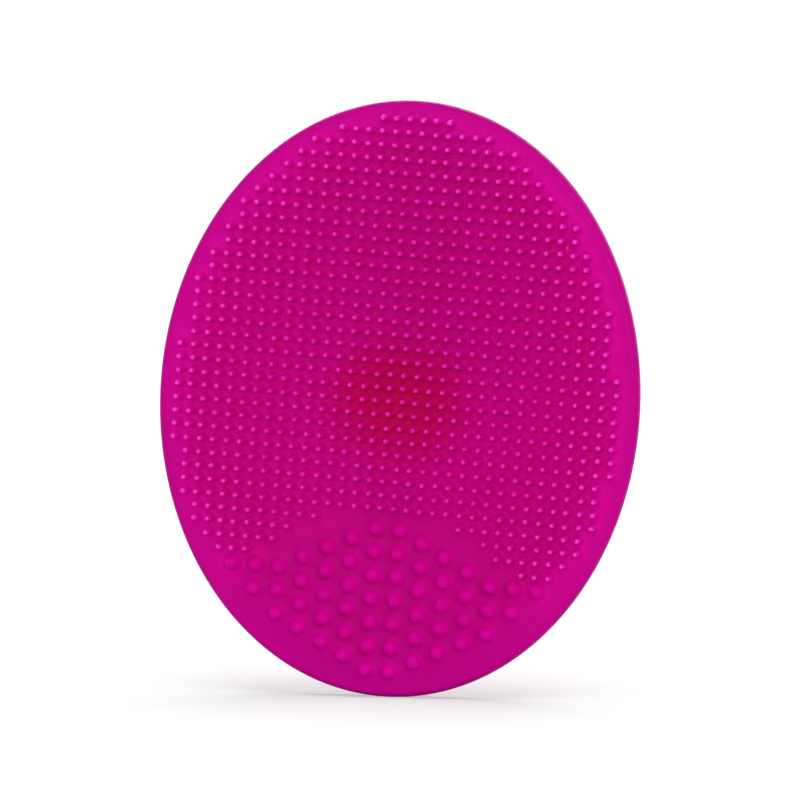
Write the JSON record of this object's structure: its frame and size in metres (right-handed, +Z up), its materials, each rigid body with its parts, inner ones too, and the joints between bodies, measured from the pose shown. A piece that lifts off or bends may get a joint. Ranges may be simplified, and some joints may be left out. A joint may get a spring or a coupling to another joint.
{
  "type": "facial cleansing brush",
  "caption": "Oval silicone face brush: a field of fine bristles above a patch of domed massage nubs, and on its back a short flexible neck that ends in a suction cup.",
  "frame": {"origin": "middle of the suction cup's sealing lip, on the plane that meets the wall", "axes": "+Y out of the cup towards the wall, so the bristles face -Y; +Z up the pad's long axis, with the nubs at the bottom; +X to the right when the bristles are looked at"},
  "size_m": [0.065, 0.0216, 0.08],
  "materials": {
    "silicone": "satin"
  },
  "bodies": {
    "cup_rim": {"cup_lip": "silicone"},
    "cup": {"cup_crown": "silicone", "cup_skirt": "silicone"},
    "neck": {"neck": "silicone"},
    "neck_foot": {"neck_root": "silicone"},
    "pad": {"pad_plate": "silicone", "edge_ribs": "silicone", "bristle_field": "silicone", "nub_field": "silicone"}
  },
  "joints": [
    {"name": "cup_press", "type": "slide", "parent": "cup_rim", "child": "cup", "axis": [0, 1, 0], "range_m": [0, 0.003], "stiffness_N_per_m": 800, "deforming": ["cup_skirt"]},
    {"name": "neck_nod", "type": "hinge", "parent": "cup", "child": "neck", "pos_m": [0, -0.0088, 0], "axis": [1, 0, 0], "range_deg": [-20, 20], "stiffness_Nm_per_rad": 0.03, "deforming": ["neck"]},
    {"name": "neck_yaw", "type": "hinge", "parent": "neck", "child": "neck_foot", "pos_m": [0, -0.0116, 0], "axis": [0, 0, 1], "range_deg": [-25, 25], "stiffness_Nm_per_rad": 0.03, "deforming": ["neck"]},
    {"name": "neck_twist", "type": "hinge", "parent": "neck_foot", "child": "pad", "pos_m": [0, -0.0148, 0], "axis": [0, 1, 0], "range_deg": [-30, 30], "stiffness_Nm_per_rad": 0.02}
  ]
}
